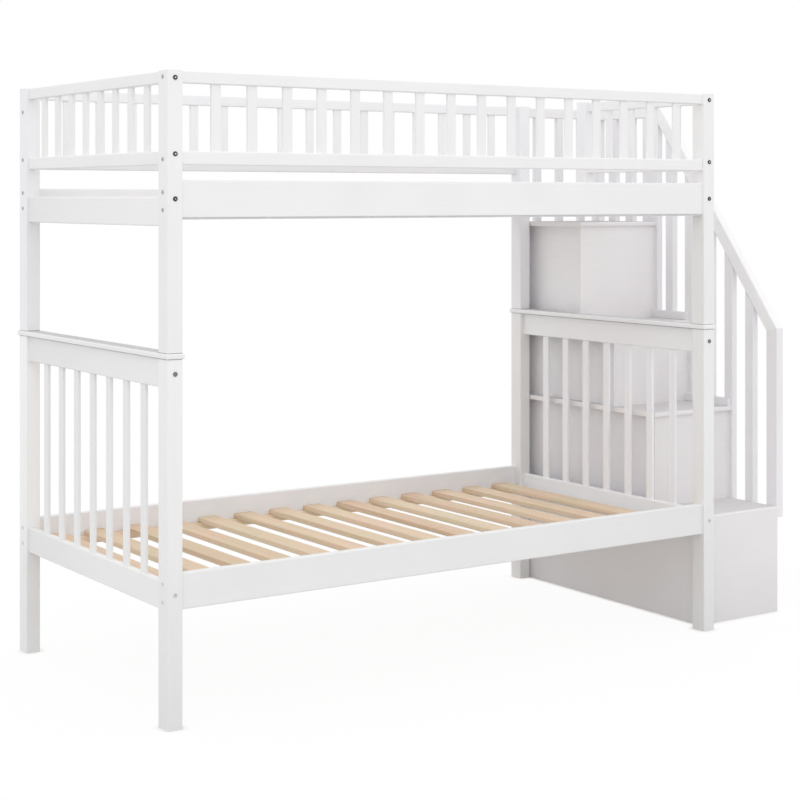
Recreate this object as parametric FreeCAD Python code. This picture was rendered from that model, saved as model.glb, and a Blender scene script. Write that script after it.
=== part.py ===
import FreeCAD, Part
import math
import os

# Timber bunk bed, one single bunk above the other, with a railed box staircase at its right end.
# Millimetres, +Z up, +X along the bed from its left end to the staircase, +Y from front to rear.
# Lengths are set out from the outer front left corner of the bed; the save step centres the whole.

V = FreeCAD.Vector

# Overall bed
bed_length = 2041.0
bed_width = 1060.0
total_height = 1805.0
post_x = 47.0
post_y = 58.0
post_round = 4.0

# Boards shared by rails, guards and slats
rail_thick = 22.0
rail_set_back = 8.0
rail_round = 4.0
slat_wide = 31.0
slat_thick = 10.0
slat_ease = 1.6

# Lower ends
lower_end_height = 1014.0
cap_thick = 15.5
cap_proud = 4.0
cap_round = 4.0
lower_top_rail_tall = 81.0
lower_bottom_rail_low = 322.0
lower_bottom_rail_tall = 79.0
lower_slat_count = 7
lower_slat_end_gap = 109.5

# Side rails and beds of slats
lower_side_rail_low = 326.0
lower_side_rail_tall = 101.0
upper_side_rail_tall = 105.0
rear_rail_drop = 20.0
bed_slat_sunk = 59.0
bed_slat_wide = 67.0
bed_slat_thick = 17.0
bed_slat_ease = 2.0
bed_slat_count = 14
bed_slat_left_gap = 26.0
bed_slat_right_gap = 48.0
bed_slat_clear = 1.5
cleat_wide = 22.0
cleat_tall = 24.0
cleat_ease = 2.0

# Guards round the upper bunk
guard_top_rail_tall = 35.0
guard_bottom_rail_tall = 38.0
guard_clear = 186.0
guard_to_side_rail = 41.0
guard_long_count = 16
guard_long_end_gap = 95.0
guard_end_count = 8
guard_end_gap = 90.0
end_rail_tall = 82.0
left_end_rail_drop = 46.0
right_end_rail_drop = 20.0
entry_wide = 334.0
entry_post_wide = 47.0
entry_slat_count = 4

# Staircase
stair_gap = 2.5
stair_width = 371.5
stair_front = 72.0
first_run = 226.0
second_run = 217.0
third_run = 187.0
first_tread = 368.0
second_rise = 332.0
third_tread_drop = 14.0
top_tread_drop = 140.0
tread_thick = 16.5
tread_round = 5.0
side_panel_thick = 22.0
side_panel_set_back = 10.0
riser_thick = 16.0
riser_set_back = 12.0
stile_thick = 14.0
stile_wide = 50.0
rear_panel_thick = 14.0
edge_strip_tall = 30.0
edge_strip_thick = 14.0
board_ease = 1.5

# Railing of the staircase
railing_thick = 32.0
newel_wide = 52.0
newel_set_back = 3.0
newel_above_tread = 615.0
railing_lap = 38.0
handrail_deep = 49.0
handrail_round = 5.0
level_rail_tall = 42.0
baluster_wide = 41.0
baluster_thick = 25.0
baluster_ease = 2.0
baluster_top_gap = 43.0
sloped_baluster_count = 5
level_baluster_count = 2
head_stile_wide = 46.0
head_stile_ahead = 10.0
head_stile_mitre = 20.5
corner_post_wide = 46.0
rear_rail_thick = 22.0
rear_rail_tall = 38.0
rear_baluster_wide = 30.0
rear_baluster_count = 3
rear_first_gap = 71.5
rear_last_gap = 51.0

# Bolts
socket_head_radius = 6.5
socket_head_tall = 2.6
plain_head_radius = 6.0
plain_head_tall = 1.8
bolt_rim_share = 0.4
bolt_sides = 12
top_socket_drop = 3.0
guard_socket_raise = 10.5
low_socket_drop = 6.0
front_guard_bolt_drop = 4.0
rear_top_bolt_drop = 58.0
rear_guard_bolt_raise = 12.0
pair_spacing = 49.0
upper_pair_drop = 6.0
lower_pair_drop = 3.5

# Places worked out from the sizes
upper_base = lower_end_height + cap_thick
inner_left = post_x
inner_right = bed_length - post_x
inner_front = post_y
inner_rear = bed_width - post_y
guard_top_low = total_height - guard_top_rail_tall
guard_bottom_high = guard_top_low - guard_clear
guard_bottom_low = guard_bottom_high - guard_bottom_rail_tall
upper_rail_high = guard_bottom_low - guard_to_side_rail
upper_rail_low = upper_rail_high - upper_side_rail_tall
stair_left = bed_length + stair_gap
stair_right = stair_left + stair_width
stair_rear = bed_width
railing_right = stair_right + railing_thick
railing_rear = stair_rear + rear_rail_thick
panel_left = stair_left + side_panel_set_back
panel_right = panel_left + side_panel_thick
stile_left = stair_right - stile_thick
centre_x = (railing_right - cap_proud) / 2
centre_y = (railing_rear + socket_head_tall - cap_proud) / 2

nodes = {}


def put(name, shapes):
    """Files the solids of one named node."""
    nodes[name] = shapes if isinstance(shapes, list) else [shapes]


def wire_face(points):
    """A flat face from its corners in order."""
    return Part.Face(Part.makePolygon(points + [points[0]]))


def long_edges(solid, axis):
    """The edges of a board that run along one axis."""
    found = []
    for edge in solid.Edges:
        run = edge.valueAt(edge.LastParameter) - edge.valueAt(edge.FirstParameter)
        if edge.Length > 1e-6 and abs(run.dot(axis)) > 0.999 * edge.Length:
            found.append(edge)
    return found


def bar(low, high, axis, round_to=0.0, ease_to=0.0):
    """A board between two corners, its long edges rounded or eased."""
    size = V(high[0] - low[0], high[1] - low[1], high[2] - low[2])
    across = [i for i in range(3) if i != axis]
    u = [0.0, 0.0, 0.0]
    v = [0.0, 0.0, 0.0]
    run = [0.0, 0.0, 0.0]
    u[across[0]] = size[across[0]]
    v[across[1]] = size[across[1]]
    run[axis] = size[axis]
    start = V(*low)
    profile = wire_face([start, start + V(*u), start + V(*u) + V(*v), start + V(*v)])
    solid = profile.extrude(V(*run))
    along = V(*run).normalize()
    if round_to:
        solid = solid.makeFillet(round_to, long_edges(solid, along))
    elif ease_to:
        solid = solid.makeChamfer(ease_to, long_edges(solid, along))
    return solid


def side_profile(outline, left, right, round_to, edges_along):
    """A board cut to an outline in the Y-Z plane, running from left to right in X."""
    face = wire_face([V(left, y, z) for y, z in outline])
    solid = face.extrude(V(right - left, 0, 0))
    return solid.makeFillet(round_to, long_edges(solid, edges_along))


def even_starts(low, high, wide, count, end_gap):
    """First edges of boards spread evenly, with the same gap left at both ends."""
    pitch = (high - low - 2 * end_gap - wide) / (count - 1)
    return [low + end_gap + i * pitch for i in range(count)]


def slat_row_x(starts, y_low, z_low, z_high):
    """Upright slats side by side along X."""
    row = []
    for x in starts:
        row.append(bar((x, y_low, z_low), (x + slat_wide, y_low + slat_thick, z_high), 2, 0, slat_ease))
    return row


def slat_row_y(starts, x_low, z_low, z_high):
    """Upright slats side by side along Y."""
    row = []
    for y in starts:
        row.append(bar((x_low, y, z_low), (x_low + slat_thick, y + slat_wide, z_high), 2, 0, slat_ease))
    return row


# Posts, lower and upper, at the four corners
corners = {
    "front_left": (0.0, 0.0),
    "front_right": (inner_right, 0.0),
    "rear_left": (0.0, inner_rear),
    "rear_right": (inner_right, inner_rear),
}
for corner, (x, y) in corners.items():
    lower = bar((x, y, 0), (x + post_x, y + post_y, lower_end_height), 2, post_round)
    upper = bar((x, y, upper_base), (x + post_x, y + post_y, total_height), 2, post_round)
    put("lower_post_" + corner, lower)
    put("upper_post_" + corner, upper)

# Ends: rails set back from the outer face of the posts, slats in the middle of the rails
slat_in_rail = (rail_thick - slat_thick) / 2
end_rail_x = {"left": rail_set_back, "right": bed_length - rail_set_back - rail_thick}
lower_top_rail_low = lower_end_height - lower_top_rail_tall
lower_bottom_rail_high = lower_bottom_rail_low + lower_bottom_rail_tall
end_rail_high = {
    "left": upper_rail_high - left_end_rail_drop,
    "right": upper_rail_high - right_end_rail_drop,
}
for end, x in end_rail_x.items():
    far = x + rail_thick
    put(
        "lower_" + end + "_top_rail",
        bar((x, inner_front, lower_top_rail_low), (far, inner_rear, lower_end_height), 1, rail_round),
    )
    put(
        "lower_" + end + "_bottom_rail",
        bar(
            (x, inner_front, lower_bottom_rail_low),
            (far, inner_rear, lower_bottom_rail_high),
            1,
            rail_round,
        ),
    )
    starts = even_starts(inner_front, inner_rear, slat_wide, lower_slat_count, lower_slat_end_gap)
    put(
        "lower_" + end + "_slats",
        slat_row_y(starts, x + slat_in_rail, lower_bottom_rail_high, lower_top_rail_low),
    )
    # The caps stand proud of the posts all round, but not on the side where the staircase stands
    cap_left = -cap_proud if end == "left" else inner_right - cap_proud
    cap_right = inner_left + cap_proud if end == "left" else bed_length
    cap = bar(
        (cap_left, -cap_proud, lower_end_height),
        (cap_right, bed_width + cap_proud, upper_base),
        1,
    )
    nose = [e for e in cap.Edges if abs(e.BoundBox.ZLength) < 1e-6]
    put("lower_" + end + "_cap", cap.makeFillet(cap_round, nose))
    low = end_rail_high[end] - end_rail_tall
    put(
        "upper_" + end + "_end_rail",
        bar((x, inner_front, low), (far, inner_rear, end_rail_high[end]), 1, rail_round),
    )

# Side rails, cleats and bed slats of both bunks
rail_y = {"front": rail_set_back, "rear": bed_width - rail_set_back - rail_thick}
slat_front = rail_set_back + rail_thick
slat_rear = bed_width - rail_set_back - rail_thick
bunks = {
    "lower": (lower_side_rail_low, lower_side_rail_low + lower_side_rail_tall, 0.0),
    "upper": (upper_rail_low, upper_rail_high, rear_rail_drop),
}
for bunk, (low, high, drop) in bunks.items():
    for side, y in rail_y.items():
        top = high - drop if side == "rear" else high
        put(
            bunk + "_" + side + "_rail",
            bar((inner_left, y, low), (inner_right, y + rail_thick, top), 0, rail_round),
        )
    slat_top = high - bed_slat_sunk
    slat_low = slat_top - bed_slat_thick
    cleats = []
    for y in (slat_front, slat_rear - cleat_wide):
        cleats.append(
            bar(
                (inner_left, y, slat_low - cleat_tall),
                (inner_right, y + cleat_wide, slat_low),
                0,
                0,
                cleat_ease,
            )
        )
    put(bunk + "_cleats", cleats)
    span = inner_right - inner_left - bed_slat_left_gap - bed_slat_right_gap - bed_slat_wide
    pitch = span / (bed_slat_count - 1)
    row = []
    for i in range(bed_slat_count):
        x = inner_left + bed_slat_left_gap + i * pitch
        row.append(
            bar(
                (x, slat_front + bed_slat_clear, slat_low),
                (x + bed_slat_wide, slat_rear - bed_slat_clear, slat_top),
                1,
                0,
                bed_slat_ease,
            )
        )
    put(bunk + "_bed_slats", row)

# Guards along the front and the rear of the upper bunk
long_starts = even_starts(inner_left, inner_right, slat_wide, guard_long_count, guard_long_end_gap)
for side, y in rail_y.items():
    far = y + rail_thick
    put(
        "guard_" + side + "_top_rail",
        bar((inner_left, y, guard_top_low), (inner_right, far, total_height), 0, rail_round),
    )
    put(
        "guard_" + side + "_bottom_rail",
        bar((inner_left, y, guard_bottom_low), (inner_right, far, guard_bottom_high), 0, rail_round),
    )
    put(
        "guard_" + side + "_slats",
        slat_row_x(long_starts, y + slat_in_rail, guard_bottom_high, guard_top_low),
    )

# Guards at the ends; the right one stops at the entry post beside the way in from the stairs
entry_post_rear = inner_rear - entry_wide
entry_post_front = entry_post_rear - entry_post_wide
entry_gap = (entry_post_front - inner_front - entry_slat_count * slat_wide) / (entry_slat_count + 1)
end_guards = {
    "left": (inner_rear, even_starts(inner_front, inner_rear, slat_wide, guard_end_count, guard_end_gap)),
    "right": (
        entry_post_front,
        even_starts(inner_front, entry_post_front, slat_wide, entry_slat_count, entry_gap),
    ),
}
for end, (stop, starts) in end_guards.items():
    x = end_rail_x[end]
    far = x + rail_thick
    put(
        "guard_" + end + "_top_rail",
        bar((x, inner_front, guard_top_low), (far, stop, total_height), 1, rail_round),
    )
    put(
        "guard_" + end + "_bottom_rail",
        bar((x, inner_front, guard_bottom_low), (far, stop, guard_bottom_high), 1, rail_round),
    )
    put(
        "guard_" + end + "_slats",
        slat_row_y(starts, x + slat_in_rail, guard_bottom_high, guard_top_low),
    )
put(
    "entry_post",
    bar(
        (inner_right, entry_post_front, end_rail_high["right"]),
        (bed_length, entry_post_rear, total_height),
        2,
        post_round,
    ),
)

# Staircase: each step is a box on the tread below, open to the outer side for storage
tread_top = [
    first_tread,
    first_tread + second_rise,
    lower_end_height - third_tread_drop,
    upper_rail_high - top_tread_drop,
]
step_count = len(tread_top)
tread_low = [top - tread_thick for top in tread_top]
step_front = [stair_front]
for run in (first_run, second_run, third_run):
    step_front.append(step_front[-1] + run)
risers = []
bed_panels = []
rear_panels = []
stiles = []
dividers = []
edge_strips = []
for k in range(step_count):
    front = step_front[k]
    floor = tread_top[k - 1] if k else 0.0
    ceiling = tread_low[k]
    riser_front = front + riser_set_back if k else front
    behind = riser_front + riser_thick
    # The first riser closes the step up to its top; the others stand under an overhanging tread
    if k:
        riser = bar((panel_left, riser_front, floor), (stair_right, behind, ceiling), 0)
        tread = bar((stair_left, front, ceiling), (stair_right, stair_rear, tread_top[k]), 0)
    else:
        riser = bar((stair_left, riser_front, floor), (stair_right, behind, tread_top[k]), 0)
        tread = bar((stair_left, behind, ceiling), (stair_right, stair_rear, tread_top[k]), 0)
    nosing = []
    for edge in long_edges(tread if k else riser, V(1, 0, 0)):
        if edge.BoundBox.YMax < front + 1 and edge.BoundBox.ZMin > ceiling - 1:
            nosing.append(edge)
    if k:
        tread = tread.makeFillet(tread_round, nosing)
    else:
        riser = riser.makeFillet(tread_round, nosing)
    put("stair_tread_" + str(k + 1), tread)
    risers.append(riser)
    bed_panels.append(
        bar((panel_left, behind, floor), (panel_right, stair_rear, ceiling), 2, 0, board_ease)
    )
    rear_panels.append(
        bar((panel_right, stair_rear - rear_panel_thick, floor), (stile_left, stair_rear, ceiling), 2)
    )
    for start in (behind, stair_rear - stile_wide):
        stiles.append(
            bar((stile_left, start, floor), (stair_right, start + stile_wide, ceiling), 2, 0, board_ease)
        )
    for j in range(k + 1, step_count):
        line = step_front[j] + riser_set_back
        dividers.append(
            bar((panel_right, line, floor), (stair_right, line + riser_thick, ceiling), 2, 0, board_ease)
        )
    # A low strip along the outer edge of the two middle treads
    if 0 < k < step_count - 1:
        edge_strips.append(
            bar(
                (stair_right - edge_strip_thick, front + tread_round, tread_top[k]),
                (stair_right, step_front[k + 1] + riser_set_back, tread_top[k] + edge_strip_tall),
                1,
                0,
                board_ease,
            )
        )
put("stair_risers", risers)
put("stair_bed_side_panels", bed_panels)
put("stair_rear_panels", rear_panels)
put("stair_outer_stiles", stiles)
put("stair_dividers", dividers)
put("stair_edge_strips", edge_strips)

# Handrail line: its lower edge runs from the rear of the newel to the underside of the level rail
newel_front = stair_front + newel_set_back
newel_rear = newel_front + newel_wide
newel_low = tread_top[0] - railing_lap
newel_rear_high = tread_top[0] + newel_above_tread
head_front = step_front[-1] - head_stile_ahead
head_rear = head_front + head_stile_wide
level_low = total_height - level_rail_tall
mitre_low_y = head_front + head_stile_mitre
slope = (level_low - newel_rear_high) / (mitre_low_y - newel_rear)
handrail_plumb = handrail_deep * math.sqrt(1 + slope * slope)
mitre_high_y = newel_rear + (total_height - newel_rear_high - handrail_plumb) / slope


def rail_under(y):
    """Height of the handrail's lower edge."""
    return newel_rear_high + slope * (y - newel_rear)


newel_front_high = rail_under(newel_front) + handrail_plumb
slope_axis = V(0, 1, slope).normalize()
corner_front = railing_rear - corner_post_wide
put(
    "stair_newel",
    side_profile(
        [
            (newel_front, newel_low),
            (newel_rear, newel_low),
            (newel_rear, newel_rear_high),
            (newel_front, newel_front_high),
        ],
        stair_right,
        railing_right,
        post_round,
        V(0, 0, 1),
    ),
)
put(
    "stair_handrail",
    side_profile(
        [
            (newel_front, newel_front_high),
            (newel_rear, newel_rear_high),
            (mitre_low_y, level_low),
            (mitre_high_y, total_height),
        ],
        stair_right,
        railing_right,
        handrail_round,
        slope_axis,
    ),
)
put(
    "stair_level_rail",
    side_profile(
        [
            (mitre_low_y, level_low),
            (corner_front, level_low),
            (corner_front, total_height),
            (mitre_high_y, total_height),
        ],
        stair_right,
        railing_right,
        handrail_round,
        V(0, 1, 0),
    ),
)
put(
    "stair_corner_post",
    bar(
        (stair_right, corner_front, tread_top[-2] - railing_lap),
        (railing_right, railing_rear, total_height),
        2,
        post_round,
    ),
)

# Balusters under the sloped handrail, cut to its slope; those beside a riser reach one step lower
baluster_right = stair_right + baluster_thick
last_rear = head_front - baluster_top_gap
pitch = (last_rear - newel_rear) / sloped_baluster_count
sloped = []
for i in range(1, sloped_baluster_count + 1):
    rear = newel_rear + i * pitch
    front = rear - baluster_wide
    step = max(k for k in range(step_count) if step_front[k] <= front or k == 0)
    beside_riser = step > 0 and front - step_front[step] < stile_wide - baluster_wide / 2
    low = tread_top[step - 1 if beside_riser else step] - railing_lap
    outline = [(front, low), (rear, low), (rear, rail_under(rear)), (front, rail_under(front))]
    face = wire_face([V(stair_right, y, z) for y, z in outline])
    solid = face.extrude(V(baluster_thick, 0, 0))
    sloped.append(solid.makeChamfer(baluster_ease, long_edges(solid, V(0, 0, 1))))
head_low = tread_top[-2] - railing_lap
outline = [
    (head_front, head_low),
    (head_rear, head_low),
    (head_rear, level_low),
    (mitre_low_y, level_low),
    (head_front, rail_under(head_front)),
]
face = wire_face([V(stair_right, y, z) for y, z in outline])
solid = face.extrude(V(baluster_thick, 0, 0))
sloped.append(solid.makeChamfer(baluster_ease, long_edges(solid, V(0, 0, 1))))
put("stair_sloped_balusters", sloped)

# Balusters under the level rail: one against the head stile, the others evenly to the corner post
level_base = tread_top[-1] - railing_lap
level_starts = [head_rear]
free = corner_front - head_rear - baluster_wide
gap = (free - level_baluster_count * baluster_wide) / (level_baluster_count + 1)
for i in range(level_baluster_count):
    level_starts.append(head_rear + baluster_wide + gap + i * (gap + baluster_wide))
level = []
for y in level_starts:
    level.append(
        bar((stair_right, y, level_base), (baluster_right, y + baluster_wide, level_low), 2, 0, baluster_ease)
    )
put("stair_level_balusters", level)

# Rear rail of the staircase, lapped behind the bed's rear right post, and its balusters
rear_rail_low = total_height - rear_rail_tall
put(
    "stair_rear_rail",
    bar(
        (inner_right, stair_rear, rear_rail_low),
        (stair_right, railing_rear, total_height),
        0,
        rail_round,
    ),
)
rear_pitch = stair_width - rear_first_gap - rear_last_gap - rear_baluster_wide
rear_pitch = rear_pitch / (rear_baluster_count - 1)
rear_row = []
for i in range(rear_baluster_count):
    x = stair_left + rear_first_gap + i * rear_pitch
    rear_row.append(
        bar(
            (x, stair_rear, level_base),
            (x + rear_baluster_wide, railing_rear, rear_rail_low),
            2,
            0,
            baluster_ease,
        )
    )
put("stair_rear_balusters", rear_row)


# Bolts: socket heads on the front and rear post faces, plain heads on the end faces
def bolt_head(place, outward, radius, tall):
    """A low bolt head with an eased rim, seated on a face."""
    corners_of_head = []
    for i in range(bolt_sides):
        turn = 2 * math.pi * i / bolt_sides
        corners_of_head.append(V(radius * math.cos(turn), radius * math.sin(turn), 0))
    head = wire_face(corners_of_head).extrude(V(0, 0, tall))
    rim = [e for e in head.Edges if e.BoundBox.ZMin > tall / 2]
    head = head.makeChamfer(tall * bolt_rim_share, rim)
    head.Placement = FreeCAD.Placement(place, FreeCAD.Rotation(V(0, 0, 1), outward))
    return head


guard_top_mid = total_height - guard_top_rail_tall / 2
guard_bottom_mid = guard_bottom_low + guard_bottom_rail_tall / 2
upper_rail_mid = upper_rail_low + upper_side_rail_tall / 2
lower_rail_mid = lower_side_rail_low + lower_side_rail_tall / 2
upper_pair_mid = upper_rail_mid - upper_pair_drop
lower_pair_mid = lower_rail_mid - lower_pair_drop
socket_levels = [
    guard_top_mid - top_socket_drop,
    guard_bottom_mid + guard_socket_raise,
    upper_rail_mid,
    lower_end_height - lower_top_rail_tall / 2,
    lower_rail_mid - low_socket_drop,
]
front_plain_levels = [guard_top_mid, guard_bottom_mid - front_guard_bolt_drop]
rear_plain_levels = [guard_top_mid - rear_top_bolt_drop, guard_bottom_mid + rear_guard_bolt_raise]
pair_levels = [
    upper_pair_mid + pair_spacing / 2,
    upper_pair_mid - pair_spacing / 2,
    lower_pair_mid + pair_spacing / 2,
    lower_pair_mid - pair_spacing / 2,
]
sockets = []
plains = []
for corner, (x, y) in corners.items():
    at_rear = y > 0
    at_right = x > 0
    for z in socket_levels:
        face_y = bed_width if at_rear else 0.0
        lapped = at_rear and at_right and z > rear_rail_low
        seat = V(x + post_x / 2, railing_rear if lapped else face_y, z)
        out = V(0, 1 if at_rear else -1, 0)
        sockets.append(bolt_head(seat, out, socket_head_radius, socket_head_tall))
    for z in (rear_plain_levels if at_rear else front_plain_levels) + pair_levels:
        seat = V(bed_length if at_right else 0.0, y + post_y / 2, z)
        out = V(1 if at_right else -1, 0, 0)
        plains.append(bolt_head(seat, out, plain_head_radius, plain_head_tall))
put("bolt_socket_heads", sockets)
put("bolt_plain_heads", plains)

# Each node is centred on the footprint of the whole and saved to a file of its own
os.makedirs("parts", exist_ok=True)
for name, shapes in nodes.items():
    for shape in shapes:
        shape.translate(V(-centre_x, -centre_y, 0))
    whole = shapes[0] if len(shapes) == 1 else Part.makeCompound(shapes)
    whole.exportStep(os.path.join("parts", name + ".step"))
print(len(nodes), "nodes,", sum(len(s) for s in nodes.values()), "solids")
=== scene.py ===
import math

import bpy
import numpy as np
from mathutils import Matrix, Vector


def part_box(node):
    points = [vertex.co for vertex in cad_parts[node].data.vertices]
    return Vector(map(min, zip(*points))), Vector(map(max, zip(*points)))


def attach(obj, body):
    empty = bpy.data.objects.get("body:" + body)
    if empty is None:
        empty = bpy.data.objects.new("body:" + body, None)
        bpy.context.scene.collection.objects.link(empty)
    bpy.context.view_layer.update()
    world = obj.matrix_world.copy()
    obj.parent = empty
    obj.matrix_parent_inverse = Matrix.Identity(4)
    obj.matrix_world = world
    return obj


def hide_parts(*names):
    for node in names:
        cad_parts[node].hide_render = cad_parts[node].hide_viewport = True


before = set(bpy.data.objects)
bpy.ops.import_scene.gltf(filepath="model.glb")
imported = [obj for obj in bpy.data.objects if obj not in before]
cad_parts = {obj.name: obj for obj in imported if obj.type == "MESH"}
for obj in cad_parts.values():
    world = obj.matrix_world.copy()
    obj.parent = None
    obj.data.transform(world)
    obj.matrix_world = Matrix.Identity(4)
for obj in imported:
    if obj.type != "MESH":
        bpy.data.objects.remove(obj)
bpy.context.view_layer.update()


# Corner posts, a lower and an upper one at each corner, and the short post beside the way in.
# Squared timber with rounded arrises, sprayed satin white; the grain stands a little in it. Painted
# light and shade: each lower post's white changes along its height, mostly greyer towards the
# floor, the upper posts are lighter, and the rear ones and the entry post lighter and cooler, to
# offset the warm light off the pine. The upper posts are pinned to the lower ones.
class Strand:
    """A shader socket in plain arithmetic: sums and products of strands add Math nodes."""

    def __init__(self, tree, socket=None):
        self.tree = tree
        self.socket = socket

    def node(self, kind, settings=None, sockets=None, out=0):
        """Adds a node: its settings first, then the value or link of each named socket."""
        made = self.tree.nodes.new(kind)
        for name, value in (settings or {}).items():
            if name == "stops":
                ramp = made.color_ramp.elements
                while len(ramp) < len(value):
                    ramp.new(0.5)
                for element, (place, colour) in zip(ramp, value):
                    element.position = place
                    element.color = (*colour, 1.0)
            else:
                setattr(made, name, value)
        for name, value in (sockets or {}).items():
            if isinstance(value, Strand):
                self.tree.links.new(value.socket, made.inputs[name])
            else:
                made.inputs[name].default_value = value
        return Strand(self.tree, made.outputs[out])

    def math(self, operation, first, second=0.0):
        """Adds a Math node on one or two values."""
        return self.node("ShaderNodeMath", {"operation": operation}, {0: first, 1: second})

    def __add__(self, other):
        return self.math("ADD", self, other)

    def __mul__(self, other):
        return self.math("MULTIPLY", self, other)

    def __sub__(self, other):
        return self.math("SUBTRACT", self, other)

    def __rsub__(self, other):
        return self.math("SUBTRACT", other, self)

    __radd__ = __add__
    __rmul__ = __mul__


def bare_material(name):
    """A new material with only its shader and output, and a strand to build on."""
    made = bpy.data.materials.new(name)
    made.use_nodes = True
    tree = made.node_tree
    return made, Strand(tree), tree.nodes["Principled BSDF"]


def feed(s, shader, **links):
    """Links strands to the shader's sockets, each named with _ for a space."""
    for name, strand in links.items():
        s.tree.links.new(strand.socket, shader.inputs[name.replace("_", " ")])


def noise(s, place, scale, detail):
    """Noise over a place, of a scale and a number of finer layers."""
    return s.node("ShaderNodeTexNoise", None, {"Vector": place, "Scale": scale, "Detail": detail})


def multiplied(s, colour, by, share=1.0):
    """A colour multiplied by another one, as far as the share says."""
    kind = {"data_type": "RGBA", "blend_type": "MULTIPLY"}
    return s.node("ShaderNodeMix", kind, {0: share, 6: colour, 7: by}, out=2)


grain_drawn = 0.04
grain_fine = 160.0
mottle_broad = 4.0
peel_fine = 420.0
white_dim, white_bright = 0.825, 0.865
satin, satin_drift = 0.36, 0.12
facing_up = 0.95
top_shade_dull = 0.5
ridge_strength, ridge_tall = 0.1, 0.0006


def white_lacquer(name, along, tint=(1.0, 1.0, 1.0), top_shade=0.0, fade=None):
    """Satin white lacquer over timber whose grain runs along one axis: 0 is X, 1 is Y, 2 is Z.

    Noise drawn out along the grain and broad mottling vary the white by a few hundredths;
    the bump adds the grain's ridges and the fine orange peel of sprayed lacquer. Faces that
    look straight up can take painted shade, which darkens them by a share, and lose their gloss.
    A fade paints light and shade: an axis and pairs of a place along it and a share that the
    colour has there.
    """
    made, s, shader = bare_material(name)
    place = s.node("ShaderNodeTexCoord", out=3)
    squeeze = [1.0, 1.0, 1.0]
    squeeze[along] = grain_drawn
    drawn = s.node("ShaderNodeMapping", None, {"Vector": place, "Scale": squeeze})
    grain = noise(s, drawn, grain_fine, 4.0)
    mottle = noise(s, place, mottle_broad, 2.0)
    peel = noise(s, place, peel_fine, 1.0)
    dim, bright = (tuple(white * part for part in tint) for white in (white_dim, white_bright))
    shades = [(0.3, dim), (0.7, bright)]
    colour = s.node("ShaderNodeValToRGB", {"stops": shades}, {"Fac": mottle * 0.6 + grain * 0.4})
    gloss = mottle * satin_drift + satin
    # Painted light and shade: the colour changes along one axis by the fade's shares
    if fade:
        axis, shares = fade
        start, run = shares[0][0], shares[-1][0] - shares[0][0]
        reach = s.node("ShaderNodeSeparateXYZ", None, {"Vector": place}, out=axis)
        stops = [((spot - start) / run, (share,) * 3) for spot, share in shares]
        along_run = (reach - start) * (1 / run)
        greyed = s.node("ShaderNodeValToRGB", {"stops": stops}, {"Fac": along_run})
        colour = multiplied(s, colour, greyed)
    # Painted shade: faces that look up are darkened, and also made matt
    if top_shade:
        facing = s.node("ShaderNodeNewGeometry", out=3)
        upward = s.node("ShaderNodeSeparateXYZ", None, {"Vector": facing}, out=2)
        top_faces = s.math("GREATER_THAN", upward, facing_up)
        colour = multiplied(s, colour, (*[1.0 - top_shade] * 3, 1.0), top_faces)
        gloss = gloss + top_faces * top_shade_dull
    ridges = grain * 0.7 + peel * 0.3
    bump = s.node(
        "ShaderNodeBump",
        None,
        {"Height": ridges, "Strength": ridge_strength, "Distance": ridge_tall},
    )
    feed(s, shader, Base_Color=colour, Roughness=gloss, Normal=bump)
    return made


def dress(material, *names):
    """Gives CAD nodes their finish."""
    for name in names:
        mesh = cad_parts[name].data
        mesh.materials.clear()
        mesh.materials.append(material)


corners = ("front_left", "front_right", "rear_left", "rear_right")
# Lit and shaded copies of the white, as painted light and shade: the lower one darker, the upper
# one lighter, the cool one lighter and bluer to offset the warm light off the pine
lower_white = (0.982, 0.982, 0.982)
upper_white = (1.02, 1.02, 1.022)
cool_white = (1.03, 1.03, 1.06)
lower_upright = white_lacquer("white_lower_upright", 2, lower_white)
upper_upright = white_lacquer("white_upper_upright", 2, upper_white)
cool_upright = white_lacquer("white_cool_upright", 2, cool_white)
lower_post_light_fades = {
    "front_left": [(0.0, 0.935), (0.3, 0.985), (0.55, 1.025), (0.95, 1.06)],
    "front_right": [(0.0, 0.915), (0.3, 0.965), (0.55, 1.0), (0.95, 1.03)],
    "rear_left": [(0.0, 0.99), (0.32, 1.0), (0.45, 1.085), (0.95, 1.11)],
    "rear_right": [(0.0, 1.04), (0.35, 0.98), (0.5, 0.97), (0.95, 1.03)],
}
upper_post_light_fade = [(1.03, 0.97), (1.3, 0.995), (1.8, 1.01)]
for corner, shares in lower_post_light_fades.items():
    post = white_lacquer("white_lower_post_" + corner, 2, lower_white, fade=(2, shares))
    dress(post, "lower_post_" + corner)
post = white_lacquer("white_upper_post", 2, upper_white, fade=(2, upper_post_light_fade))
dress(post, "upper_post_front_left", "upper_post_front_right")
dress(cool_upright, "upper_post_rear_left", "upper_post_rear_right", "entry_post")


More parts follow.
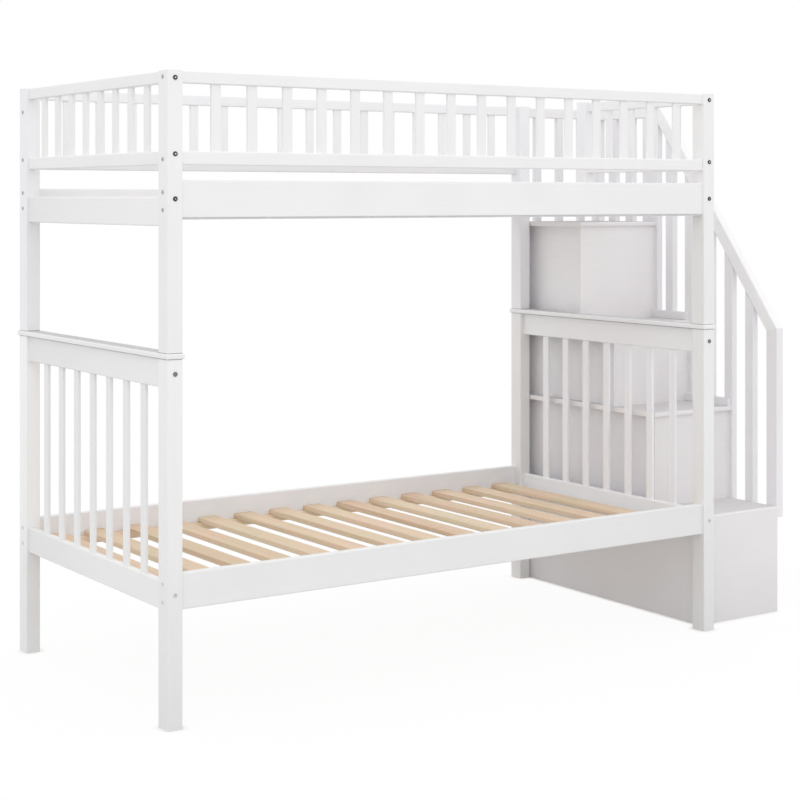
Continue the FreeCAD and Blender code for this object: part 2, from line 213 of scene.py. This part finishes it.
# Ends. Rails and seven slim slats between the lower posts, tongued into each other, under a
# bullnosed cap that runs over both posts, its top darkened as painted shade; one rail across the
# upper ones. White timber; on the left end painted light and shade makes the lower rails and the
# upper rail lighter towards the front and greyer towards the rear, and the end by the staircase is
# painted a touch lighter and cooler, as the staircase is, to offset the warm light off the pine.
cap_top_shade = 0.3
end_light_fade = (1, [(-0.48, 1.022), (-0.1, 1.01), (0.46, 0.935)])
lower_across = white_lacquer("white_lower_across", 1, lower_white, fade=end_light_fade)
lower_cap = white_lacquer("white_lower_cap", 1, top_shade=cap_top_shade)
upper_across = white_lacquer("white_upper_across", 1, upper_white)
cool_across = white_lacquer("white_cool_across", 1, cool_white)
cool_cap = white_lacquer("white_cool_cap", 1, cool_white, cap_top_shade)
for end, level, upright, cap in (
    ("left", lower_across, lower_upright, lower_cap),
    ("right", cool_across, cool_upright, cool_cap),
):
    lower = "lower_" + end
    dress(level, lower + "_top_rail", lower + "_bottom_rail")
    dress(upright, lower + "_slats")
    dress(cap, lower + "_cap")
dress(white_lacquer("white_upper_end", 1, upper_white, fade=end_light_fade), "upper_left_end_rail")
dress(upper_across, "upper_right_end_rail")


# Side rails. Long white boards on edge, one at each side of each bunk, drawn up against the posts
# by the bolts in their ends. The rear ones are painted lighter and cooler, to offset the warm light
# off the pine, the upper front one lighter, and the lower ones carry painted shade that greys them
# towards the staircase end.
upper_along = white_lacquer("white_upper_along", 0, upper_white)
cool_along = white_lacquer("white_cool_along", 0, cool_white)
front_rail_light_run = (0, [(-1.17, 1.0), (0.1, 0.99), (0.77, 0.955)])
rear_rail_light_run = (0, [(-1.17, 0.99), (0.0, 0.97), (0.77, 0.935)])
dress(white_lacquer("white_lower_front", 0, lower_white, fade=front_rail_light_run), "lower_front_rail")
dress(white_lacquer("white_lower_rear", 0, cool_white, fade=rear_rail_light_run), "lower_rear_rail")
dress(upper_along, "upper_front_rail")
dress(cool_along, "upper_rear_rail")


# Bed slats. Bare planed pine, laid across the bed on two cleats that are screwed inside the side
# rails. Each slat comes from another part of the log, so it has its own tone and its own rings.
slat_first = -1.1485
slat_pitch = 0.13892
slat_wide = 0.067
bunk_count_scale = 1.2
lots_per_bunk = 31.0
pine_drawn = 0.03
pith_spread = 0.11
pith_depth, pith_depth_spread = 0.02, 0.05
ring_gap = 0.0075
ring_bend, bend_broad = 0.03, 12.0
late_sharp = 2.2
fibre_fine, patch_broad, hue_broad = 700.0, 30.0, 7.0
pine_tones = np.array([(0.86, 0.705, 0.535), (0.775, 0.60, 0.435), (0.62, 0.45, 0.30)])
tone_places = (0.1, 0.55, 1.0)
pine_hues = [(0.36, (1.035, 0.985, 0.985)), (0.64, (0.965, 1.01, 0.96))]


def planed_pine(name, along, tint, paled=0.0):
    """Pine boards whose grain runs along X (0) or Y (1), tinted by a factor and paled by a share.

    The rings are circles about a pith line that lies beside each board: their radius, bent by
    drawn-out noise, goes through a sine that is sharpened to thin latewood lines. Random
    numbers by board set the pith's place and the board's tone; fine noise adds the fibres, and
    broad noise lets the hue drift between a rosy and a greenish wood.
    """
    made, s, shader = bare_material(name)
    place = s.node("ShaderNodeTexCoord", out=3)
    squeeze = [1.0, 1.0, 1.0]
    squeeze[along] = pine_drawn
    drawn = s.node("ShaderNodeMapping", None, {"Vector": place, "Scale": squeeze})
    apart = [s.node("ShaderNodeSeparateXYZ", None, {"Vector": place}, out=i) for i in range(3)]
    across = apart[1 - along] - slat_first
    board = s.math("FLOOR", across * (1.0 / slat_pitch))
    bunk = s.math("FLOOR", apart[2] * bunk_count_scale)
    number = board + bunk * lots_per_bunk
    lot = s.node("ShaderNodeTexWhiteNoise", {"noise_dimensions": "1D"}, {"W": number}, out=1)
    draw = [s.node("ShaderNodeSeparateColor", None, {"Color": lot}, out=i) for i in range(3)]
    aside = across - board * slat_pitch - 0.5 * slat_wide + (draw[0] - 0.5) * pith_spread
    below = draw[1] * pith_depth_spread + pith_depth
    bend = noise(s, drawn, bend_broad, 2.0)
    radius = s.math("SQRT", aside * aside + below * below) + bend * ring_bend
    wave = s.math("SINE", radius * (2 * math.pi / ring_gap))
    late = s.math("POWER", wave * 0.5 + 0.5, late_sharp)
    fibre = noise(s, drawn, fibre_fine, 3.0)
    patch = noise(s, drawn, patch_broad, 2.0)
    tones = tint * (pine_tones * (1 - paled) + pine_tones[:, :1] * paled)
    colour = s.node(
        "ShaderNodeValToRGB",
        {"stops": list(zip(tone_places, tones.tolist()))},
        {"Fac": late * 0.34 + fibre * 0.22 + patch * 0.3 + draw[2] * 0.3},
    )
    drift = noise(s, place, hue_broad, 1.0)
    hue = s.node("ShaderNodeValToRGB", {"stops": pine_hues}, {"Fac": drift * 0.8 + draw[1] * 0.2})
    colour = multiplied(s, colour, hue, 1.0 - paled)
    bump = s.node(
        "ShaderNodeBump",
        None,
        {"Height": late * 0.6 + fibre * 0.4, "Strength": 0.2, "Distance": 0.0005},
    )
    feed(s, shader, Base_Color=colour, Roughness=fibre * 0.1 - late * 0.08 + 0.56, Normal=bump)
    return made


slat_tint = 0.96
# The lower cleats are painted lighter, painted light that lifts the shade under the slats
lower_cleat_light_lift, upper_cleat_tint = 1.08, 0.9
upper_paled = 0.7
dress(planed_pine("planed_pine_slats", 1, slat_tint), "lower_bed_slats")
dress(planed_pine("planed_pine_cleats", 0, lower_cleat_light_lift), "lower_cleats")
dress(planed_pine("pale_pine_slats", 1, slat_tint, upper_paled), "upper_bed_slats")
dress(planed_pine("pale_pine_cleats", 0, upper_cleat_tint, upper_paled), "upper_cleats")


# Guards round the upper bunk. Two slim rails with flat slats tongued in between, white all over;
# the rear and right ones are painted lighter and cooler, to offset the warm light off the pine, and
# the lower rail at the rear a touch greyer as painted shade; the right one stops at the post beside
# the way in.
guards = {
    "front": (upper_along, upper_upright),
    "rear": (cool_along, cool_upright),
    "left": (upper_across, upper_upright),
    "right": (cool_across, cool_upright),
}
for side, (level, upright) in guards.items():
    dress(level, "guard_" + side + "_top_rail", "guard_" + side + "_bottom_rail")
    dress(upright, "guard_" + side + "_slats")
# Painted shade: the rear guard's lower rail is greyer and cooler
shaded_white = (0.945, 0.945, 0.973)
dress(white_lacquer("white_shaded_along", 0, shaded_white), "guard_rear_bottom_rail")


# Staircase. Boxes of lacquered board, each standing on the tread below and open at the outer side;
# the treads overhang and their tops are darkened grey and made matt, as painted shade, most on the
# landing, and two of them have a low strip at the outer edge. The white is tinted a touch cooler to
# offset the warm light off the pine, and the risers carry painted shade near the floor and painted
# light at the top.
board_tint = (1.0, 0.99, 1.015)
front_tint = (1.015, 0.99, 0.997)
# Painted shade and light on the risers: greyer near the floor, lighter at the top
riser_light_fade = [(0.0, 0.885), (0.2, 0.945), (0.9, 1.0), (1.1, 1.062)]
board_front = white_lacquer("white_board_front", 0, front_tint, fade=(2, riser_light_fade))
board_along = white_lacquer("white_board_along", 0, front_tint)
board_across = white_lacquer("white_board_across", 1, board_tint)
board_upright = white_lacquer("white_board_upright", 2, board_tint)
step_top_shade, landing_top_shade = 0.21, 0.42
board_top_shaded = white_lacquer("white_board_top_shaded", 0, front_tint, step_top_shade)
board_landing = white_lacquer("white_board_landing", 0, front_tint, landing_top_shade)
for step in ("1", "2", "3"):
    dress(board_top_shaded, "stair_tread_" + step)
dress(board_landing, "stair_tread_4")
dress(board_front, "stair_risers")
dress(board_along, "stair_rear_panels")
dress(board_across, "stair_edge_strips")
dress(board_upright, "stair_outer_stiles", "stair_dividers")


# Boards on the bed side of the staircase. Lacquered panels, flush with the tread at the first step
# and let in behind the ends of the upper treads and risers, so that each tread shows as a light
# edge; a strip at the rear, flush with the treads, closes the corner beside the bed's post.
let_in = 0.021
thin_board = 0.012
riser_depth = 0.028
rear_strip = 0.014
eased = 0.001
crease = math.radians(35)
# Painted shade and light on these boards: greyer near the floor, lighter at the top
side_light_fade = [(0.0, 0.92), (0.3, 1.0), (0.75, 1.0), (1.1, 1.08)]


def ringed_piece(name, points, materials, finishes=None):
    """Closed bodies from rings of points, an array by body, ring and place in the ring.

    Neighbouring rings are joined by quads, and the first and last ring are closed by a flat
    face. The finishes give each face's material: the bands', then the first and last faces'.
    """
    count, loops, turns = points.shape[:3]
    index = np.arange(count * loops * turns).reshape(count, loops, turns)
    after = np.roll(index, -1, axis=2)
    quads = np.stack([index[:, :-1], after[:, :-1], after[:, 1:], index[:, 1:]], axis=-1)
    faces = quads.reshape(-1, 4).tolist() + index[:, 0, ::-1].tolist() + index[:, -1].tolist()
    mesh = bpy.data.meshes.new(name)
    mesh.from_pydata(points.reshape(-1, 3).tolist(), [], faces)
    for material in materials:
        mesh.materials.append(material)
    if finishes is not None:
        mesh.polygons.foreach_set("material_index", finishes.astype(np.int32))
    mesh.shade_smooth()
    mesh.set_sharp_from_angle(angle=crease)
    piece = bpy.data.objects.new(name, mesh)
    bpy.context.scene.collection.objects.link(piece)
    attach(piece, "root")
    return piece


def upright_boards(lows, highs, ease):
    """Rings of boards that stand between pairs of corners.

    In plan each board is a rectangle whose four corners are cut off by the ease: eight points,
    each a share of the way from the lower corner to the upper one and a step along one side.
    The same ring stands at the lower corner's level and at the upper one's.
    """
    lows, highs = np.array(lows, float), np.array(highs, float)
    share = np.array([(0, 0), (1, 0), (1, 0), (1, 1), (1, 1), (0, 1), (0, 1), (0, 0)])
    step = np.array([(1, 0), (-1, 0), (0, 1), (0, -1), (-1, 0), (1, 0), (0, -1), (0, 1)])
    plan = lows[:, None, :2] + share * (highs - lows)[:, None, :2] + step * ease
    points = np.empty((len(lows), 2, len(share), 3))
    points[..., :2] = plan[:, None]
    points[..., 2] = np.stack([lows[:, 2], highs[:, 2]], axis=1)[:, :, None]
    return points


board_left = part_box("stair_bed_side_panels")[0][0]
rear_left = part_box("stair_rear_panels")[0][0]
board_lows, board_highs = [], []
board_foot = 0.0
for step in ("1", "2", "3", "4"):
    low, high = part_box("stair_tread_" + step)
    left, thick, front = board_left + let_in, thin_board, low[1] + riser_depth
    if step == "1":
        left, thick, front = low[0], rear_left - low[0], low[1]
    rear = high[1] - rear_strip
    board_lows += [(left, front, board_foot), (low[0], rear, board_foot)]
    board_highs += [(left + thick, rear, low[2]), (rear_left, high[1], low[2])]
    board_foot = high[2]
points = upright_boards(board_lows, board_highs, eased)
board_side = white_lacquer("white_board_side", 1, board_tint, fade=(2, side_light_fade))
boards = ringed_piece("stair_side_boards", points, [board_side])
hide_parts("stair_bed_side_panels")


# Railing. A newel and a sloped handrail, mitred to a level rail at the top, with flat balusters
# screwed to the outer side of the boxes; a short rail closes the rear of the landing.
# The handrails are painted lighter, painted light at the top of the stair
rail_light_tint = (1.055, 1.05, 1.055)
dress(white_lacquer("white_board_rail", 1, rail_light_tint), "stair_handrail", "stair_level_rail")
dress(board_along, "stair_rear_rail")
dress(board_upright, "stair_newel", "stair_corner_post", "stair_sloped_balusters")
dress(board_upright, "stair_level_balusters", "stair_rear_balusters")


# Shade lines. A cap is glued between the posts and on top of the end's rail; where the eased
# arrises meet, a thin dark grey band along each joint is painted shade.
shade_band = 0.0012
shade_band_proud = 0.0003
post_arris = 0.003
eye_slope = 0.09
shade_band_broad = 25.0
shade_band_dark, shade_band_light = 0.14, 0.22


def shade_band_grey(name, dark, light):
    """Dull grey for painted shade: broad noise takes it from the dark tone to the light one."""
    made, s, shader = bare_material(name)
    place = s.node("ShaderNodeTexCoord", out=3)
    drift = noise(s, place, shade_band_broad, 2.0)
    stops = [(0.3, (dark,) * 3), (0.7, (light,) * 3)]
    colour = s.node("ShaderNodeValToRGB", {"stops": stops}, {"Fac": drift})
    feed(s, shader, Base_Color=colour, Roughness=drift * 0.2 + 0.6)
    return made


line_lows, line_highs = [], []
for corner in corners:
    low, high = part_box("lower_post_" + corner)
    cap_low, cap_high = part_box("lower_" + corner.split("_")[1] + "_cap")
    for level in (cap_low[2] - shade_band, cap_high[2]):
        line_lows.append((low[0] - shade_band_proud, low[1] - shade_band_proud, level))
        line_highs.append((high[0] + shade_band_proud, high[1] + shade_band_proud, level + shade_band))
for end in ("left", "right"):
    low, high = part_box("lower_" + end + "_top_rail")
    cap_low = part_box("lower_" + end + "_cap")[0]
    # The shade band under the cap's overhang is taller, so that it shows from eye level
    deep = shade_band + eye_slope * (low[0] - cap_low[0])
    line_lows.append((low[0] - shade_band_proud, low[1], cap_low[2] - deep))
    line_highs.append((high[0] + shade_band_proud, high[1], cap_low[2]))
points = upright_boards(line_lows, line_highs, post_arris)
shade_line_grey = shade_band_grey("shade_band_grey", shade_band_dark, shade_band_light)
lines = ringed_piece("cap_shade_lines", points, [shade_line_grey])


# Edging under the front rail of the upper bunk. A slim strip glued along its lower edge, set back a
# little from the face; its grey is painted shade, so that from the front it shows as a fine dark
# line.
edging_tall = 0.0045
edging_deep = 0.012
edging_back = 0.0015
edging_dark, edging_light = 0.56, 0.64
low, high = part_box("upper_front_rail")
points = upright_boards(
    [(low[0], low[1] + edging_back, low[2] - edging_tall)],
    [(high[0], low[1] + edging_back + edging_deep, low[2])],
    eased,
)
edging_shade_grey = shade_band_grey("edging_shade_grey", edging_dark, edging_light)
edging = ringed_piece("upper_front_edging", points, [edging_shade_grey])


# Bolts. Socket heads on the front and rear faces of the posts, black with a plated recess, and
# plated all over on the lower posts; flatter plated heads on the end faces. Turned, then punched.
speckle_fine = 900.0


def plated_steel(name, dark, light, metallic, dull):
    """Plated or blackened steel: fine noise shades its colour and its roughness."""
    made, s, shader = bare_material(name)
    place = s.node("ShaderNodeTexCoord", out=3)
    speckle = noise(s, place, speckle_fine, 2.0)
    stops = [(0.3, (dark,) * 3), (0.7, (light,) * 3)]
    colour = s.node("ShaderNodeValToRGB", {"stops": stops}, {"Fac": speckle})
    shader.inputs["Metallic"].default_value = metallic
    feed(s, shader, Base_Color=colour, Roughness=speckle * 0.2 + dull)
    return made


head_turns = 24


def turned_heads(seats, outwards, rings):
    """Rings of turned bolt heads, one head on each seat.

    Each ring is a radius, a height above the seat and a share: its points run once round the
    axis, at a distance that goes from a circle at share 0 to a hexagon at share 1.
    """
    seats, outwards, rings = (np.array(part, float) for part in (seats, outwards, rings))
    angle = 2 * math.pi * np.arange(head_turns) / head_turns
    sixth = math.pi / 3
    hexagon = math.cos(sixth / 2) / np.cos(np.mod(angle, sixth) - sixth / 2)
    reach = rings[:, :1] * (1 - rings[:, 2:] + rings[:, 2:] * hexagon)
    up = np.array([0.0, 0.0, 1.0])
    aside = np.cross(up, outwards)
    return (
        seats[:, None, None, :]
        + rings[None, :, 1, None, None] * outwards[:, None, None, :]
        + (reach * np.cos(angle))[None, :, :, None] * aside[:, None, None, :]
        + (reach * np.sin(angle))[None, :, :, None] * up
    )


socket_rings = [
    (0.0068, 0.0, 0.0),
    (0.0068, 0.0015, 0.0),
    (0.0065, 0.0022, 0.0),
    (0.0058, 0.0026, 0.0),
    (0.0027, 0.0026, 0.0),
    (0.0024, 0.0023, 1.0),
    (0.0023, 0.0013, 1.0),
]
plain_rings = [
    (0.0060, 0.0, 0.0),
    (0.0060, 0.0007, 0.0),
    (0.0055, 0.0014, 0.0),
    (0.0043, 0.0018, 0.0),
    (0.0026, 0.0018, 0.0),
    (0.0023, 0.0016, 1.0),
    (0.0022, 0.0008, 1.0),
]
# Level of each socket bolt, and which of the four steels below its ring and its recess have
socket_tones = {1.7845: (0, 1), 1.5755: (0, 1), 1.4525: (0, 2), 0.9735: (3, 3), 0.3705: (1, 2)}
front_plain_levels = (1.7875, 1.561)
rear_plain_levels = (1.7295, 1.577)
pair_levels = (1.471, 1.422, 0.3975, 0.3485)
lower_bunk_high = 1.0
lapped_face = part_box("stair_rear_rail")[1][1]
sockets, socket_ways, socket_finishes = [], [], []
plains, plain_ways, plain_finishes = [], [], []
for corner in corners:
    low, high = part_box("lower_post_" + corner)
    at_rear = corner.startswith("rear")
    at_right = corner.endswith("right")
    for level in socket_tones:
        face = high[1] if at_rear else low[1]
        if at_rear and at_right and level == max(socket_tones):
            face = lapped_face
        sockets.append(((low[0] + high[0]) / 2, face, level))
        socket_ways.append((0, 1 if at_rear else -1, 0))
        ring, recess = socket_tones[level]
        # Four bands of the ring, two of the recess, then the seat and the recess's floor
        socket_finishes.append([ring] * 4 + [recess, recess, ring, recess])
    for level in (rear_plain_levels if at_rear else front_plain_levels) + pair_levels:
        plains.append((high[0] if at_right else low[0], (low[1] + high[1]) / 2, level))
        plain_ways.append((1 if at_right else -1, 0, 0))
        plain_finishes.append(1 if level < lower_bunk_high else 0)
black_oxide = plated_steel("black_oxide", 0.012, 0.03, 0.0, 0.55)
bright_zinc = plated_steel("bright_zinc", 0.62, 0.74, 0.3, 0.34)
grey_zinc = plated_steel("grey_zinc", 0.4, 0.5, 0.3, 0.4)
dark_zinc = plated_steel("dark_zinc", 0.17, 0.25, 0.2, 0.5)
points = turned_heads(sockets, socket_ways, socket_rings)
finishes = np.array(socket_finishes)
bands = np.repeat(finishes[:, : len(socket_rings) - 1], points.shape[2], axis=1).ravel()
heads = ringed_piece(
    "bolt_socket_heads_turned",
    points,
    (black_oxide, bright_zinc, grey_zinc, dark_zinc),
    np.concatenate([bands, finishes[:, -2], finishes[:, -1]]),
)
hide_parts("bolt_socket_heads")
points = turned_heads(plains, plain_ways, plain_rings)
bands = np.repeat(plain_finishes, points.shape[2] * (len(plain_rings) - 1))
finishes = np.concatenate([bands, plain_finishes, plain_finishes])
heads = ringed_piece("bolt_plain_heads_turned", points, (grey_zinc, bright_zinc), finishes)
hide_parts("bolt_plain_heads")


# Studio floor. A wide pale floor; the camera sees it white, mixed with a plain glow, so that it
# runs into the white surroundings; it keeps a faint shadow, and a dark line close to each foot.
floor_reach = 200.0
floor_pale = 0.61
floor_white = 0.9
floor_glow = 0.93
floor_dull = 0.9
contact_reach, contact_samples = 0.026, 8
plain_white = (1.0, 1.0, 1.0, 1.0)
floor_mesh = bpy.data.meshes.new("floor")
floor_mesh.from_pydata(
    [(x * floor_reach, y * floor_reach, 0.0) for x, y in ((-1, -1), (1, -1), (1, 1), (-1, 1))],
    [],
    [(0, 1, 2, 3)],
)
floor = bpy.data.objects.new("floor", floor_mesh)
bpy.context.scene.collection.objects.link(floor)


def seen_directly(s):
    """1 for the rays of the camera, of gloss and of transmission, 0 for those that carry light."""
    camera_ray, gloss_ray, through_ray = (s.node("ShaderNodeLightPath", out=i) for i in (0, 3, 6))
    return s.math("MAXIMUM", s.math("MAXIMUM", camera_ray, gloss_ray), through_ray)


floor_paint, s, shader = bare_material("floor_pale")
shader.inputs["Roughness"].default_value = floor_dull
seen = seen_directly(s)
tones = [(0.0, (floor_pale,) * 3), (1.0, (floor_white,) * 3)]
feed(s, shader, Base_Color=s.node("ShaderNodeValToRGB", {"stops": tones}, {"Fac": seen}))
glow = s.node("ShaderNodeEmission", None, {"Color": plain_white, "Strength": 1.0})
near = s.node(
    "ShaderNodeAmbientOcclusion",
    {"samples": contact_samples},
    {"Distance": contact_reach},
    out=1,
)
clear = s.math("MAXIMUM", near * 2.0 - 1.0, 0.0)
mixed = s.node(
    "ShaderNodeMixShader",
    None,
    {0: seen * clear * floor_glow, 1: Strand(s.tree, shader.outputs[0]), 2: glow},
)
s.tree.links.new(mixed.socket, s.tree.nodes["Material Output"].inputs["Surface"])
floor_mesh.materials.append(floor_paint)


# Studio light. An even white room, and one broad soft box in front of the bed that lifts the faces
# turned to it a little. The camera and gloss see plain white around.
room_light = 1.135
key_power = 22.0
key_wide = 4.0
world = bpy.data.worlds.new("studio")
bpy.context.scene.world = world
world.use_nodes = True
s = Strand(world.node_tree)
room = s.node("ShaderNodeBackground", None, {"Color": plain_white, "Strength": room_light})
backdrop = s.node("ShaderNodeBackground", None, {"Color": plain_white, "Strength": 1.0})
both = s.node("ShaderNodeMixShader", None, {0: seen_directly(s), 1: room, 2: backdrop})
s.tree.links.new(both.socket, world.node_tree.nodes["World Output"].inputs["Surface"])
lamp = bpy.data.lights.new("key", "AREA")
lamp.size = key_wide
lamp.energy = key_power
holder = bpy.data.objects.new("key", lamp)
bpy.context.scene.collection.objects.link(holder)
holder.location = (-1.5, -3.8, 4.0)
holder.rotation_euler = (math.radians(55), 0.0, math.radians(-22))


# Camera. It stands at the front left, at the eye level and the distance of the photograph; the
# picture's frame is shifted down so that the uprights stay parallel.
camera_data = bpy.data.cameras.new("camera")
camera_data.sensor_width = 36.0
camera_data.lens = 79.413
camera_data.shift_y = -0.25209
camera = bpy.data.objects.new("camera", camera_data)
bpy.context.scene.collection.objects.link(camera)
camera.location = (-3.3824, -4.8787, 1.4539)
camera.rotation_euler = (math.pi / 2, 0.0, -math.radians(33.984))
bpy.context.scene.camera = camera

bpy.context.scene.view_settings.view_transform = "Standard"
